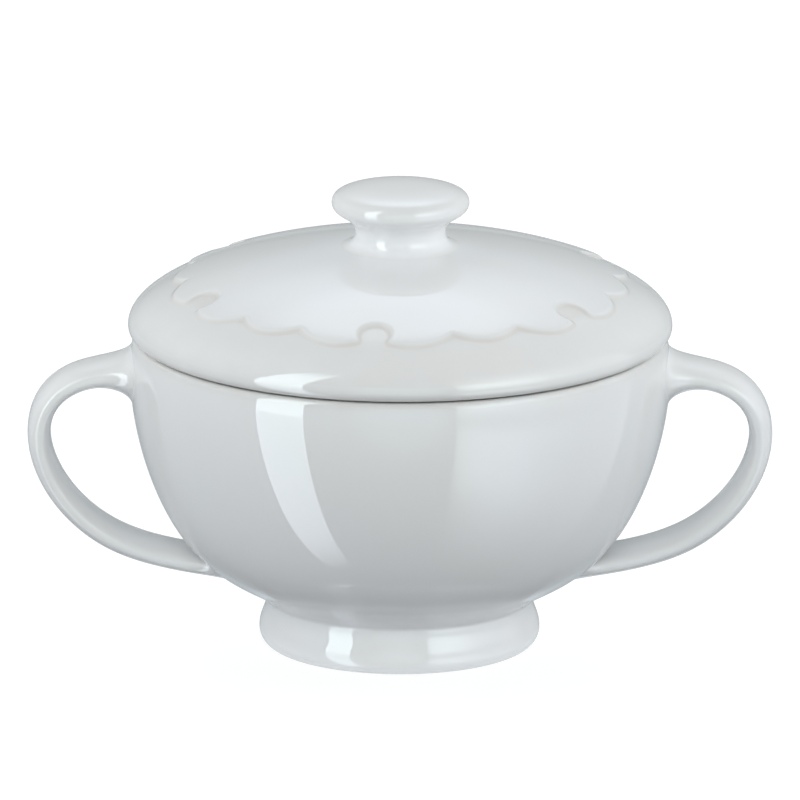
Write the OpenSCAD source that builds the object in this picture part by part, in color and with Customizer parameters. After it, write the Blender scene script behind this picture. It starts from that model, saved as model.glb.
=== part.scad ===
// A lidded soup bowl for one serving, cast in stoneware and glazed in pearl white.
// It has a turned foot ring, two swept strap handles, and a domed lid that carries
// a raised lace layer and a knob.
// Lengths are in millimetres. Z is up, X runs through both handles, and the front
// faces -Y. The origin is the middle of the flat that the foot ring stands on.

/* [Foot ring] */
// Height of the foot ring, from the table to the bowl
foot_h = 8.8; // [7:0.1:11]
// Outer radius of the foot ring's waist, where the bowl begins
foot_waist_r = 25.2; // [22:0.1:28]
// How far the toe swells out past the waist
foot_toe_swell = 1.1; // [0.4:0.1:2]
// Height of the widest part of the toe
foot_toe_h = 2.8; // [2:0.1:4]
// Rounding from the widest part of the toe in to the standing flat
foot_toe_round = 1.9; // [1:0.1:3]
// Width of the flat that the bowl stands on
foot_stand_w = 2.8; // [1.5:0.1:4]
// Wall of the foot ring where it meets the bowl
foot_wall = 5.6; // [4:0.1:8]

/* [Bowl] */
// Outer radius of the bowl at its rim
rim_r = 50.2; // [46:0.1:55]
// Height of the bowl, from the foot ring to the top of the rim
bowl_h = 50.4; // [44:0.1:56]
// Thickness of the bowl's wall
wall_t = 3.4; // [2.6:0.1:4.4]
// Thickness of the bowl's floor at its middle
floor_t = 3.7; // [2.8:0.1:5]
// How far the bowl's underside hangs down inside the foot ring
belly_sag = 1.4; // [0.6:0.1:2.4]
// Rounding of the rim's outer edge
rim_round = 1.2; // [0.8:0.1:1.6]
// Rounding of the rim's inner edge
mouth_round = 0.8; // [0.4:0.1:1.1]

/* [Handles] */
// Reach of each handle's middle line past the rim
handle_reach = 17.3; // [13:0.1:21]
// Depth of the upper root's middle below the top of the rim
handle_drop = 7.2; // [6.6:0.1:11]
// Height of the lower root's middle above the foot ring
handle_low_h = 6.7; // [5.5:0.1:10]
// Width of the strap, across the handle
strap_w = 13.8; // [10:0.1:17]
// Thickness of the strap
strap_t = 4.8; // [3.6:0.1:6]
// Length over which a root flares out to meet the wall
root_len = 8; // [5:0.1:10]
// Rise of the upper root's flare, above the strap
root_rise = 2.7; // [1:0.1:3.2]
// Fall of the upper root's flare, below the strap
root_fall = 3.6; // [1.5:0.1:5]
// Spread of both roots, to each side of the strap
root_spread = 3; // [1:0.1:5]
// Fillet of the lower root, on the side of the finger gap
root_tuck = 1.4; // [0.5:0.1:2.5]
// How much thinner the strap gets at the lower root, on its underside
root_thin = 0.6; // [0:0.1:1]

/* [Lid] */
// How far the lid's edge stands out past the rim
lid_lip = 0.8; // [0.3:0.1:1.5]
// Height of the lid's widest line above its seat
lid_edge_h = 2.1; // [1.5:0.1:3]
// Rounding under the lid's edge, in to its seat
lid_edge_round = 2.6; // [1.6:0.1:2.9]
// Rise of the lid's plain dome above its widest line
lid_rise = 15.4; // [12:0.1:20]
// Thickness of the lid at its middle
lid_t = 3.6; // [2.8:0.1:4.6]
// Depth of the flange that drops into the bowl's mouth
flange_h = 5; // [3.5:0.1:7]
// Thickness of the flange
flange_t = 3; // [2.2:0.1:4]
// Gap all round between the flange and the bowl's mouth
flange_gap = 0.9; // [0.5:0.1:1.6]

/* [Lace layer] */
// Height that the lace stands above the dome
lace_h = 0.6; // [0.4:0.1:1]
// Distance from the lid's edge in to the corners between the lace's lobes
lace_margin = 10.8; // [9:0.1:14]
// Reach of the lobes beside a notch, past the corners
side_lobe_out = 3.3; // [2:0.1:4.5]
// Reach of the lobe midway between notches, past the corners
mid_lobe_out = 2.5; // [1.5:0.1:3.5]
// Radius of each round notch
notch_r = 3.05; // [2.2:0.05:3.6]
// Width of the mouth of each notch
notch_mouth = 5.5; // [3.5:0.1:5.9]
// Number of notches round the lid
notch_count = 6; // [5:1:8]
// Turn of the first notch from +X, in degrees
lace_turn = -96.75; // [-180:0.25:180]

/* [Knob] */
// Largest radius of the knob's cap
knob_r = 12.9; // [10:0.1:15]
// Radius of the knob's waist
knob_waist_r = 8.45; // [6:0.05:9.5]
// Radius of the knob's foot, on the lace
knob_foot_r = 10.2; // [9.6:0.1:12]
// Height of the knob above the lace's middle
knob_h = 10.5; // [9:0.1:14]
// Height of the waist above the lace's middle
knob_waist_h = 1.8; // [1.2:0.1:3]
// Height of the cap's widest line above the lace's middle
knob_cap_h = 7.6; // [6.4:0.1:8.8]

/* [Hidden] */

// Sides of a full turn where the preview needs a number; the turned forms are true circles
$fn = 120;

// Steps along each stretch of a curved outline
wall_steps = 26;
bend_steps = 6;
dome_steps = 18;
path_steps = 34;
// Sides of the strap's section, and how square it is: 2 is an ellipse, more is squarer
strap_sides = 24;
strap_squareness = 2.5;

glaze = [0.86, 0.86, 0.85];
glaze_shade = [0.8, 0.8, 0.79];

// Outline of the bowl's outer wall: share of the way out from the waist to the rim,
// and share of the way up from the foot ring to the start of the rim's rounding
wall_shares = [[0, 0], [0.32, 0.15], [0.71, 0.05], [1.12, 0.69], [1, 1]];
// Where along the outer wall the inner wall turns in to the floor
floor_turn_share = 0.2;
// Middle stretch of a handle's path: share of its reach past the rim, and share of
// the way up from its lower root to its upper root
handle_shares = [[0.02, 0.99], [1.73, 1.15], [1.13, 0.45], [0.8, 0.1]];
// Outline of the dome: share of the lid's radius, and share of its rise
dome_shares = [[0, 1], [0.3, 1], [1, 0.58], [1, 0]];
// Outline of the dome's inside, in the same way
inside_shares = [[0, 1], [0.42, 1], [1, 0.62], [1, 0.12]];
// Half the angle of a middle lobe and turn of a side lobe, as shares of a notch's pitch
mid_lobe_share = 0.153;
side_lobe_share = 0.163;

rim_z = foot_h + bowl_h;
mouth_r = rim_r - wall_t;
lid_r = rim_r + lid_lip;
lid_wide_z = rim_z + lid_edge_h;
dome_top_z = lid_wide_z + lid_rise;
lace_top_z = dome_top_z + lace_h;
flange_r = mouth_r - flange_gap;
flange_in_r = flange_r - flange_t;
lace_r = lid_r - lace_margin;

// Point on a smooth curve that its control points steer, t from 0 to 1
function curve(p, t) =
    len(p) == 1 ? p[0] : curve([for (i = [0 : len(p) - 2]) p[i] * (1 - t) + p[i + 1] * t], t);
// Direction of that curve, as a unit vector
function heading(p, t) =
    let (d = curve([for (i = [0 : len(p) - 2]) p[i + 1] - p[i]], t)) d / norm(d);
// A row of points along the curve
function curve_points(p, steps) = [for (i = [0 : steps]) curve(p, i / steps)];
// Left side of a direction
function left_of(d) = [-d[1], d[0]];
function drop_first(list) = [for (i = [1 : len(list) - 1]) list[i]];
function drop_last(list) = [for (i = [0 : len(list) - 2]) list[i]];
function reversed(list) = [for (i = [len(list) - 1 : -1 : 0]) list[i]];

// Outer wall, from the foot ring's waist up to the rim's rounding
wall_steer = [for (s = wall_shares) [
    foot_waist_r + (rim_r - foot_waist_r) * s[0],
    foot_h + (bowl_h - rim_round) * s[1]
]];
wall_points = curve_points(wall_steer, wall_steps);
// Radius of the outer wall at a height
function wall_at(z) = lookup(z, [for (p = wall_points) [p[1], p[0]]]);

// Inner wall: the outer one moved in by the wall's thickness
function inner_point(t) = curve(wall_steer, t) + left_of(heading(wall_steer, t)) * wall_t;
inner_points = [
    for (i = [0 : wall_steps])
        inner_point(floor_turn_share + (1 - floor_turn_share) * i / wall_steps)
];
// Floor: flat in the middle, then bending up along the inner wall's own slope
floor_z = foot_h - belly_sag + floor_t;
floor_heading = heading(wall_steer, floor_turn_share);
floor_run = (inner_points[0][1] - floor_z) * floor_heading[0] / floor_heading[1];
floor_bend = [
    [0, floor_z],
    [max(0, inner_points[0][0] - floor_run), floor_z],
    inner_points[0]
];
// Rim: rounded outside, a flat seat for the lid, rounded inside
rim_heading = heading(wall_steer, 1);
rim_lean = rim_heading[0] / rim_heading[1];
rim_bend = [
    [rim_r, rim_z - rim_round],
    [rim_r + rim_lean * rim_round, rim_z],
    [rim_r - rim_round, rim_z]
];
inner_top = inner_points[wall_steps];
mouth_bend = [
    [inner_top[0] + mouth_round, rim_z],
    [inner_top[0] + rim_lean * (rim_z - inner_top[1]), rim_z],
    inner_top
];
// Underside: a shallow belly inside the foot ring, flat where the ring joins
ring_in_r = foot_waist_r - foot_wall;
belly_bend = [[0, foot_h - belly_sag], [ring_in_r / 2, foot_h - belly_sag], [ring_in_r, foot_h]];

module bowl() {
    color(glaze)
        rotate_extrude()
            polygon(concat(
                curve_points(belly_bend, bend_steps),
                wall_points,
                drop_first(curve_points(rim_bend, bend_steps)),
                curve_points(mouth_bend, bend_steps),
                drop_first(reversed(inner_points)),
                drop_first(reversed(curve_points(floor_bend, bend_steps)))
            ));
}

// The space inside the bowl's outer wall, which trims the handles' roots to fit it
module bowl_blank() {
    rotate_extrude()
        polygon(concat(
            [[0, foot_h]],
            wall_points,
            drop_first(curve_points(rim_bend, bend_steps)),
            [[0, rim_z]]
        ));
}

// Foot ring: a rounded toe outside, a sloping wall inside, a flat to stand on
toe_r = foot_waist_r + foot_toe_swell;
stand_r = toe_r - foot_toe_round;
stand_in_r = stand_r - foot_stand_w;
toe_bend = [[stand_r, 0], [toe_r - foot_toe_round / 2, 0], [toe_r, foot_toe_h / 2], [toe_r, foot_toe_h]];
waist_bend = [
    [toe_r, foot_toe_h],
    [toe_r, foot_h * 0.6],
    [foot_waist_r - foot_toe_swell / 4, foot_h * 0.72],
    [foot_waist_r, foot_h]
];
ring_inside_bend = [
    [ring_in_r, foot_h],
    [ring_in_r, foot_toe_h],
    [stand_in_r - foot_toe_round / 2, 0],
    [stand_in_r, 0]
];

module foot_ring() {
    color(glaze_shade)
        rotate_extrude()
            polygon(concat(
                curve_points(toe_bend, bend_steps),
                drop_first(curve_points(waist_bend, bend_steps)),
                drop_last(curve_points(ring_inside_bend, bend_steps)),
                [[stand_in_r, 0]]
            ));
}

// Middle line of a handle, in the plane of X and Z, from the upper root to the lower one
handle_top_z = rim_z - handle_drop;
handle_low_z = foot_h + handle_low_h;
root_sink = strap_t * 0.6;
path_steer = concat(
    [[wall_at(handle_top_z) - root_sink, handle_top_z]],
    [for (s = handle_shares) [
        rim_r + handle_reach * s[0],
        handle_low_z + (handle_top_z - handle_low_z) * s[1]
    ]],
    [[wall_at(handle_low_z) + strap_t * 0.43, handle_low_z]]
);
// The lower root runs on, straight, until it is inside the wall
low_heading = heading(path_steer, 1);
tail_len = strap_t * 2.2;
path_points = concat(
    curve_points(path_steer, path_steps),
    [path_steer[len(path_steer) - 1] + low_heading * tail_len]
);
path_headings = concat(
    [for (i = [0 : path_steps]) heading(path_steer, i / path_steps)],
    [low_heading]
);
// Flare of the strap near the wall: 0 along the strap, 1 at the wall, round like a fillet
function flare(p) =
    let (s = max(0, min(1, 1 - (p[0] - wall_at(p[1])) / root_len))) 1 - sqrt(1 - s * s);

// Section of the strap at one step of the path: [offset to its outer side, place along Y]
function strap_section(p, is_top) =
    let (
        f = flare(p),
        half_out = strap_t / 2 + (is_top ? root_rise : -root_thin) * f,
        half_in = strap_t / 2 + (is_top ? root_fall : root_tuck) * f,
        half_w = strap_w / 2 + root_spread * f,
        power = 2 / strap_squareness
    )
    [for (k = [0 : strap_sides - 1])
        let (a = 360 * k / strap_sides, c = cos(a), s = sin(a))
        [
            (c > 0 ? half_out : half_in) * sign(c) * pow(abs(c), power),
            half_w * sign(s) * pow(abs(s), power)
        ]
    ];

// One ring of the strap, as points in space
function strap_ring(i) =
    let (p = path_points[i], side = left_of(path_headings[i]))
    [for (q = strap_section(p, i < len(path_points) / 2))
        [p[0] + side[0] * q[0], q[1], p[1] + side[1] * q[0]]
    ];

module strap() {
    rings = len(path_points);
    last = (rings - 1) * strap_sides;
    polyhedron(
        points = [for (i = [0 : rings - 1]) each strap_ring(i)],
        faces = concat(
            [[for (k = [0 : strap_sides - 1]) k]],
            [for (i = [0 : rings - 2], k = [0 : strap_sides - 1])
                let (a = i * strap_sides, n = (k + 1) % strap_sides)
                [a + k, a + strap_sides + k, a + n]
            ],
            [for (i = [0 : rings - 2], k = [0 : strap_sides - 1])
                let (a = i * strap_sides, n = (k + 1) % strap_sides)
                [a + n, a + strap_sides + k, a + strap_sides + n]
            ],
            [[for (k = [strap_sides - 1 : -1 : 0]) last + k]]
        )
    );
}

module right_handle() {
    color(glaze)
        difference() {
            strap();
            bowl_blank();
        }
}

module left_handle() {
    mirror([1, 0, 0]) right_handle();
}

// Plain dome of the lid, from its middle out to its widest line
dome_steer = [for (s = dome_shares) [lid_r * s[0], lid_wide_z + lid_rise * s[1]]];
dome_points = curve_points(dome_steer, dome_steps);
// Inside of the lid, from its middle out to the flange
inside_rise = dome_top_z - lid_t - rim_z;
inside_steer = [for (s = inside_shares) [flange_in_r * s[0], rim_z + inside_rise * s[1]]];
// Flange: a round tip between a plain outer wall and a plain inner wall
tip_z = rim_z - flange_h;
tip_round = flange_t / 2;
flange_bend = [
    [flange_in_r, tip_z + tip_round],
    [flange_in_r, tip_z],
    [flange_in_r + tip_round, tip_z]
];
flange_bend_out = [
    [flange_r - tip_round, tip_z],
    [flange_r, tip_z],
    [flange_r, tip_z + tip_round]
];
// Edge of the lid: from its seat on the rim, round, out to its widest line
edge_bend = [[lid_r - lid_edge_round, rim_z], [lid_r, rim_z], [lid_r, lid_wide_z]];

module lid() {
    color(glaze)
        rotate_extrude()
            polygon(concat(
                curve_points(inside_steer, dome_steps),
                curve_points(flange_bend, bend_steps),
                drop_first(curve_points(flange_bend_out, bend_steps)),
                [[flange_r, rim_z]],
                curve_points(edge_bend, bend_steps),
                drop_first(reversed(dome_points))
            ));
}

// A lobe of the lace: a disc through two corners and a tip
module lobe(turn, half_angle, out) {
    half_chord = lace_r * sin(half_angle);
    bulge = lace_r + out - lace_r * cos(half_angle);
    lobe_r = (half_chord * half_chord + bulge * bulge) / (2 * bulge);
    rotate(turn)
        translate([lace_r + out - lobe_r, 0])
            circle(r = lobe_r);
}

// Outline of the lace, seen from above: three lobes from one notch to the next
module lace_outline() {
    pitch = 360 / notch_count;
    mid_half = pitch * mid_lobe_share;
    side_turn = pitch * side_lobe_share;
    side_half = pitch / 2 - mid_half - side_turn;
    notch_out = lace_margin;
    difference() {
        union() {
            circle(r = lace_r * cos(side_half));
            for (i = [0 : notch_count - 1]) {
                turn = lace_turn + pitch * i;
                lobe(turn + side_turn, side_half, side_lobe_out);
                lobe(turn - side_turn, side_half, side_lobe_out);
                lobe(turn + pitch / 2, mid_half, mid_lobe_out);
            }
        }
        for (i = [0 : notch_count - 1])
            rotate(lace_turn + pitch * i)
                translate([lace_r, 0]) {
                    circle(r = notch_r);
                    translate([0, -notch_mouth / 2])
                        square([notch_out, notch_mouth]);
                }
    }
}

module lace_layer() {
    color(glaze_shade)
        intersection() {
            rotate_extrude()
                polygon(concat(
                    dome_points,
                    [for (p = reversed(dome_points)) p + [0, lace_h]]
                ));
            translate([0, 0, lid_wide_z])
                linear_extrude(height = lid_rise + lace_margin)
                    lace_outline();
        }
}

// Height of the lace's upper face at a radius
function lace_face(r) = lace_h + lookup(r, [for (p = dome_points) p]);

// Knob: a foot flared on to the lace, a waist, and a wide cap with a low dome
knob_foot_bend = [
    [knob_foot_r, lace_face(knob_foot_r)],
    [knob_waist_r, lace_face(knob_foot_r) + knob_waist_h * 0.4],
    [knob_waist_r, lace_top_z + knob_waist_h]
];
knob_neck_bend = [
    [knob_waist_r, lace_top_z + knob_waist_h],
    [knob_waist_r, lace_top_z + knob_waist_h + (knob_cap_h - knob_waist_h) * 0.6],
    [knob_r, lace_top_z + knob_waist_h + (knob_cap_h - knob_waist_h) * 0.57],
    [knob_r, lace_top_z + knob_cap_h]
];
knob_cap_bend = [
    [knob_r, lace_top_z + knob_cap_h],
    [knob_r, lace_top_z + knob_cap_h + (knob_h - knob_cap_h) * 0.92],
    [knob_r * 0.7, lace_top_z + knob_h],
    [0, lace_top_z + knob_h]
];

module lid_knob() {
    color(glaze)
        rotate_extrude()
            polygon(concat(
                [for (p = dome_points) if (p[0] < knob_foot_r) p + [0, lace_h]],
                curve_points(knob_foot_bend, bend_steps),
                drop_first(curve_points(knob_neck_bend, dome_steps)),
                drop_first(curve_points(knob_cap_bend, dome_steps))
            ));
}

bowl();
foot_ring();
left_handle();
right_handle();
lid();
lace_layer();
lid_knob();
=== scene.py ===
# %% [markdown]
# # A lidded soup bowl in pearl white glaze
# The photo shows a small stoneware bowl for one serving. It has a round belly on a turned foot
# ring, two swept strap handles, and a domed lid with a raised lace edge and a knob.
# The solid model already has every piece in its place, but with few faces and sharp joints.
# Here each piece gets a smooth skin of its own, joined softly to its neighbour as glaze does it.
# Every skin is a formula over two parameters, worked out with numpy as whole arrays, so that a
# form can be changed by changing a number.

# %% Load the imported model
import math

import bpy
import numpy as np
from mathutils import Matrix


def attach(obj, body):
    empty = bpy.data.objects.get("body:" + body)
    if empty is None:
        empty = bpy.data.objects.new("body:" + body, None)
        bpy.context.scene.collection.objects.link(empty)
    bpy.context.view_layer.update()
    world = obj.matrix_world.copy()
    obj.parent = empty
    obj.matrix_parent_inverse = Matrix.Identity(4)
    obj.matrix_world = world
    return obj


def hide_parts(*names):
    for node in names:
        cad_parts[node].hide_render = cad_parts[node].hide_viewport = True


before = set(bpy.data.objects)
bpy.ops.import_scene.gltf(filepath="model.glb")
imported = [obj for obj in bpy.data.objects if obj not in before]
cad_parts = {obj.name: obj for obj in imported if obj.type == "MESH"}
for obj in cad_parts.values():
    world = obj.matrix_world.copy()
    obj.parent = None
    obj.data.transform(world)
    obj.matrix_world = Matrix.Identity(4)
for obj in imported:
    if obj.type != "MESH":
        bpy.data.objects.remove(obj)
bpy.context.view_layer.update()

# %% [markdown]
# ## Sizes
# A potter works from a few measures: the rim, the height, the wall, the reach of a handle. They
# are the same values as in the solid model, in millimetres, because a skin that replaces a solid
# stays where the solid is. Blender works in metres, so meshes are scaled once, as they are made.

# %% Sizes in millimetres
MM = 0.001

foot_h = 8.8
foot_waist_r = 25.2
foot_toe_swell = 1.1
foot_toe_h = 2.8
foot_toe_round = 1.9
foot_stand_w = 2.8
foot_wall = 5.6

rim_r = 50.2
bowl_h = 50.4
wall_t = 3.4
floor_t = 3.7
belly_sag = 1.4
rim_round = 1.2
mouth_round = 0.8

handle_reach = 17.3
handle_drop = 7.2
handle_low_h = 6.7
strap_w = 13.8
strap_t = 4.8
root_len = 8.0
root_rise = 2.7
root_fall = 3.6
root_spread = 3.0
root_tuck = 1.4
root_thin = 0.6

lid_lip = 0.8
lid_edge_h = 2.1
lid_edge_round = 2.6
lid_rise = 15.4
lid_t = 3.6
flange_h = 5.0
flange_t = 3.0
flange_gap = 0.9

lace_h = 0.6
lace_margin = 10.8
side_lobe_out = 3.3
mid_lobe_out = 2.5
notch_r = 3.05
notch_mouth = 5.5
notch_count = 6
lace_turn = math.radians(-96.75)

knob_r = 12.9
knob_waist_r = 8.45
knob_foot_r = 10.2
knob_h = 10.5
knob_waist_h = 1.8
knob_cap_h = 7.6

# How far the last points of a soft joint dip under the skin that they land on
under_skin = 0.015

rim_z = foot_h + bowl_h
lid_r = rim_r + lid_lip
lid_wide_z = rim_z + lid_edge_h
dome_top_z = lid_wide_z + lid_rise
lace_top_z = dome_top_z + lace_h
flange_r = rim_r - wall_t - flange_gap
flange_in_r = flange_r - flange_t
lace_r = lid_r - lace_margin
print("rim at", rim_z, "mm, top of the knob at", lace_top_z + knob_h, "mm")

# %% [markdown]
# ## Curves
# A turned pot has no corners in its outline except where the potter leaves one. A smooth curve
# steered by a few points does the same: it leaves the first point towards the second, and
# arrives at the last from the one before. Blender's own curve objects could draw it, but a
# formula gives the slope at every point too, which the soft joints need later.


# %% A smooth curve and its direction
def curve(steer, t):
    """Each steering point, times its share: the number of ways to choose i of n, times t to the
    power i, times 1 - t to the power n - i. The sum of them is the point at t, from 0 to 1."""
    steer = np.asarray(steer, float)
    power = np.arange(len(steer))
    last = len(steer) - 1
    ways = np.array([math.comb(last, i) for i in power], float)
    along = np.asarray(t, float)[..., None]
    return (ways * along**power * (1 - along) ** (last - power)) @ steer


def speed(steer, t):
    """The same sum over the steps between the steering points, times the number of steps."""
    return (len(steer) - 1) * curve(np.diff(np.asarray(steer, float), axis=0), t)


def heading(steer, t):
    """The speed divided by its own length: a direction one unit long."""
    moved = speed(steer, t)
    return moved / np.linalg.norm(moved, axis=-1, keepdims=True)


def left_of(direction):
    """A quarter turn to the left: x becomes minus y, and y becomes x."""
    return np.stack([-direction[..., 1], direction[..., 0]], axis=-1)


def stretch(steer, steps):
    """Points along the whole curve, closer together near its ends, where bends begin."""
    even = np.linspace(0, 1, steps + 1)
    return curve(steer, even - np.sin(2 * np.pi * even) / (2 * np.pi) * 0.5)


def eased(share):
    """From 0 to 1 with no slope and no bend at either end: 6 t^5 - 15 t^4 + 10 t^3."""
    share = np.clip(share, 0, 1)
    return share**3 * (share * (share * 6 - 15) + 10)


print("middle of a quarter bend:", curve([[1, 0], [1, 1], [0, 1]], 0.5).round(3))


# %% [markdown]
# ## From rings of points to a skin
# Both a turned form and a bent strap are rows of rings. A turned form is its outline spun round
# the axis; a strap is its section carried along a path. One function joins such rings into a
# closed skin. Blender's Spin and Screw tools could do it too, but they can leave a seam or turn
# a shape inside out, and here the order of the points alone decides which side is out.
#
# Every point also carries a number, how thin the glaze lies there, which also carries painted shade and
# light. Molten glaze draws back from outward bends and gathers in hollows, and the material reads this
# number later; it paints hollows lighter and bluer, partly as painted light, and a darker line in the
# crease outside the lace, partly as painted shade. A number near 2 marks clay that was wiped bare,
# painted nearly black as shade in the gap under the lid.


# %% Rings of points into a closed skin
def skin(name, rings, glaze_thin_and_shade, first_pole=None, last_pole=None, loop=False, sharp=40):
    """Joins each point to the next on its ring and to the same two on the next ring. A pole is one
    point that closes an end, and a loop joins the last ring to the first."""
    count, sides = rings.shape[:2]
    ring = np.arange(count if loop else count - 1)[:, None] * sides
    next_ring = (ring + sides) % (count * sides)
    side = np.arange(sides)[None, :]
    next_side = (side + 1) % sides
    corners = [ring + side, ring + next_side, next_ring + next_side, next_ring + side]
    faces = np.stack(corners, axis=-1).reshape(-1, 4).tolist()
    points = [rings.reshape(-1, 3)]
    thin = [np.broadcast_to(glaze_thin_and_shade, (count, sides)).ravel()]
    near, far = side[0], next_side[0]
    total = count * sides
    if first_pole is not None:
        points.append(np.reshape(first_pole, (1, 3)))
        thin.append(np.zeros(1))
        faces += np.stack([np.full(sides, total), far, near], axis=-1).tolist()
        total += 1
    if last_pole is not None:
        end = (count - 1) * sides
        points.append(np.reshape(last_pole, (1, 3)))
        thin.append(np.zeros(1))
        faces += np.stack([end + near, end + far, np.full(sides, total)], axis=-1).tolist()
    mesh = bpy.data.meshes.new(name)
    mesh.from_pydata((np.concatenate(points) * MM).tolist(), [], faces)
    mesh.shade_smooth()
    mesh.set_sharp_from_angle(angle=math.radians(sharp))
    values = mesh.attributes.new("glaze_thin_and_shade", "FLOAT", "POINT")
    values.data.foreach_set("value", np.concatenate(thin).astype(np.float32))
    piece = bpy.data.objects.new(name, mesh)
    bpy.context.scene.collection.objects.link(piece)
    triangles = sum(len(face) - 2 for face in faces)
    print(f"{name}: {len(mesh.vertices)} points, {triangles} triangles")
    return piece


def turned(outline, sides):
    """Spins an outline of radius and height: x is the radius times the angle's cosine, y is the
    radius times its sine, and z is the height."""
    angle = np.arange(sides) * (2 * np.pi / sides)
    radius, height = outline[:, :1], outline[:, 1:]
    return np.stack(
        [radius * np.cos(angle), radius * np.sin(angle), np.broadcast_to(height, (len(outline), sides))],
        axis=-1,
    )


def bend_of(outline, blur=0.7):
    """How sharply an outline turns: the change of its direction over the length it takes, blurred
    along the outline by a bell curve. It is above 0 on an outward bend and below 0 in a hollow."""
    step = np.diff(outline, axis=0)
    length = np.hypot(step[:, 0], step[:, 1])
    direction = np.unwrap(np.arctan2(step[:, 1], step[:, 0]))
    turn = np.concatenate([[0], np.diff(direction), [0]])
    run = np.concatenate([[0], np.cumsum(length)])
    near = np.exp(-(((run[:, None] - run[None, :]) / blur) ** 2) / 2)
    return np.clip(near @ turn / (blur * math.sqrt(2 * np.pi)), -1, 1)


def joined(*stretches):
    """Stretches of an outline one after another, without the points that they share."""
    points = np.concatenate(stretches)
    apart = np.linalg.norm(np.diff(points, axis=0), axis=1) > 1e-6
    return points[np.concatenate([[True], apart])]


# %% [markdown]
# ## The bowl
# The real bowl is jiggered: clay is pressed by a template into a spinning mould, which gives an
# even wall. So the inner wall isn't drawn on its own. It is the outer one moved in by the wall's
# thickness, with a flat floor that bends up into it. The rim is rounded on both sides of a flat
# seat, where the lid rests.

# %% Outline of the bowl
wall_steer = np.array([[0, 0], [0.32, 0.15], [0.71, 0.05], [1.12, 0.69], [1, 1]])
wall_steer = wall_steer * [rim_r - foot_waist_r, bowl_h - rim_round] + [foot_waist_r, foot_h]
wall_line = curve(wall_steer, np.linspace(0, 1, 1001))
wall_step = np.linalg.norm(np.diff(wall_line, axis=0), axis=1)
wall_run = np.concatenate([[0], np.cumsum(wall_step)])
floor_turn = 0.2
inner_t = np.linspace(floor_turn, 1, 72)
inner_wall = curve(wall_steer, inner_t) + left_of(heading(wall_steer, inner_t)) * wall_t
floor_z = foot_h - belly_sag + floor_t
floor_heading = heading(wall_steer, floor_turn)
floor_run = (inner_wall[0, 1] - floor_z) * floor_heading[0] / floor_heading[1]
floor_bend = [[0, floor_z], [max(0, inner_wall[0, 0] - floor_run), floor_z], inner_wall[0]]
rim_heading = heading(wall_steer, 1)
rim_lean = rim_heading[0] / rim_heading[1]
rim_bend = [
    [rim_r, rim_z - rim_round],
    [rim_r + rim_lean * rim_round, rim_z],
    [rim_r - rim_round, rim_z],
]
inner_top = inner_wall[-1]
mouth_bend = [
    [inner_top[0] + mouth_round, rim_z],
    [inner_top[0] + rim_lean * (rim_z - inner_top[1]), rim_z],
    inner_top,
]
ring_in_r = foot_waist_r - foot_wall
belly_z = foot_h - belly_sag
belly_bend = [[0, belly_z], [ring_in_r / 2, belly_z], [ring_in_r, foot_h]]
bowl_outline = joined(
    stretch(belly_bend, 24),
    wall_line[::10],
    stretch(rim_bend, 12),
    stretch(mouth_bend, 10),
    inner_wall[::-1],
    stretch(floor_bend, 32)[::-1],
)
print(len(bowl_outline), "points; belly widest at", wall_line[:, 0].max().round(2), "mm")

# %% The bowl's skin
bowl_piece = skin(
    "glazed_bowl",
    turned(bowl_outline[1:-1], 384),
    bend_of(bowl_outline)[1:-1, None],
    first_pole=[0, 0, belly_z],
    last_pole=[0, 0, floor_z],
)


# %% [markdown]
# ## The foot ring
# It is trimmed on the wheel from the same clay: a rounded toe, a waist, and a hollow underneath.
# Where it meets the belly, the glaze fills the corner with a small fillet. The outline therefore
# doesn't stop at the waist. It bends out and lands on the belly along the belly's own slope, and
# its last points dip just under the bowl's skin, so that no edge shows.


# %% A bend that lands on another outline
def landing(start, start_heading, end, end_heading, steps):
    """Steers a bend by the point where the line on from the start crosses the line back from the
    end, so that it leaves along the one and arrives along the other."""
    start, end = np.asarray(start, float), np.asarray(end, float)
    system = np.column_stack([start_heading, -np.asarray(end_heading, float)])
    ahead = np.linalg.solve(system, end - start)[0]
    return stretch([start, start + np.asarray(start_heading, float) * ahead, end], steps)


# %% Outline and skin of the foot ring
# Where the fillets land, as shares of the belly's outer and inner curve
belly_land = 0.018
recess_land = 0.93

# How high the recess runs up before its fillet, and how far the ring goes on inside the clay
recess_straight_h = 7.0
hidden_h = 0.9

toe_r = foot_waist_r + foot_toe_swell
stand_r = toe_r - foot_toe_round
stand_in_r = stand_r - foot_stand_w
toe_bend = [[stand_r, 0], [toe_r - foot_toe_round / 2, 0], [toe_r, foot_toe_h / 2], [toe_r, foot_toe_h]]
waist_bend = [
    [toe_r, foot_toe_h],
    [toe_r, foot_h * 0.6],
    [foot_waist_r - foot_toe_swell / 4, foot_h * 0.72],
    [foot_waist_r - 0.06, foot_h - 0.4],
]
waist_end = waist_bend[-1]
waist_fillet = landing(
    waist_end,
    heading(waist_bend, 1),
    curve(wall_steer, belly_land) + left_of(heading(wall_steer, belly_land)) * under_skin,
    heading(wall_steer, belly_land),
    10,
)
recess_bend = [
    [stand_in_r, 0],
    [stand_in_r - foot_toe_round / 2, 0],
    [ring_in_r, foot_toe_h],
    [ring_in_r, recess_straight_h],
]
recess_fillet = landing(
    recess_bend[-1],
    [0, 1],
    curve(belly_bend, recess_land) + left_of(heading(belly_bend, recess_land)) * under_skin,
    -heading(belly_bend, recess_land),
    8,
)
foot_outline = joined(
    stretch(toe_bend, 18),
    stretch(waist_bend, 22),
    waist_fillet,
    [[foot_waist_r, foot_h + hidden_h], [ring_in_r, foot_h + hidden_h]],
    recess_fillet[::-1],
    stretch(recess_bend, 18)[::-1],
)
foot_piece = skin(
    "turned_foot",
    turned(foot_outline, 384),
    bend_of(foot_outline)[:, None],
    loop=True,
)

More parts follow.
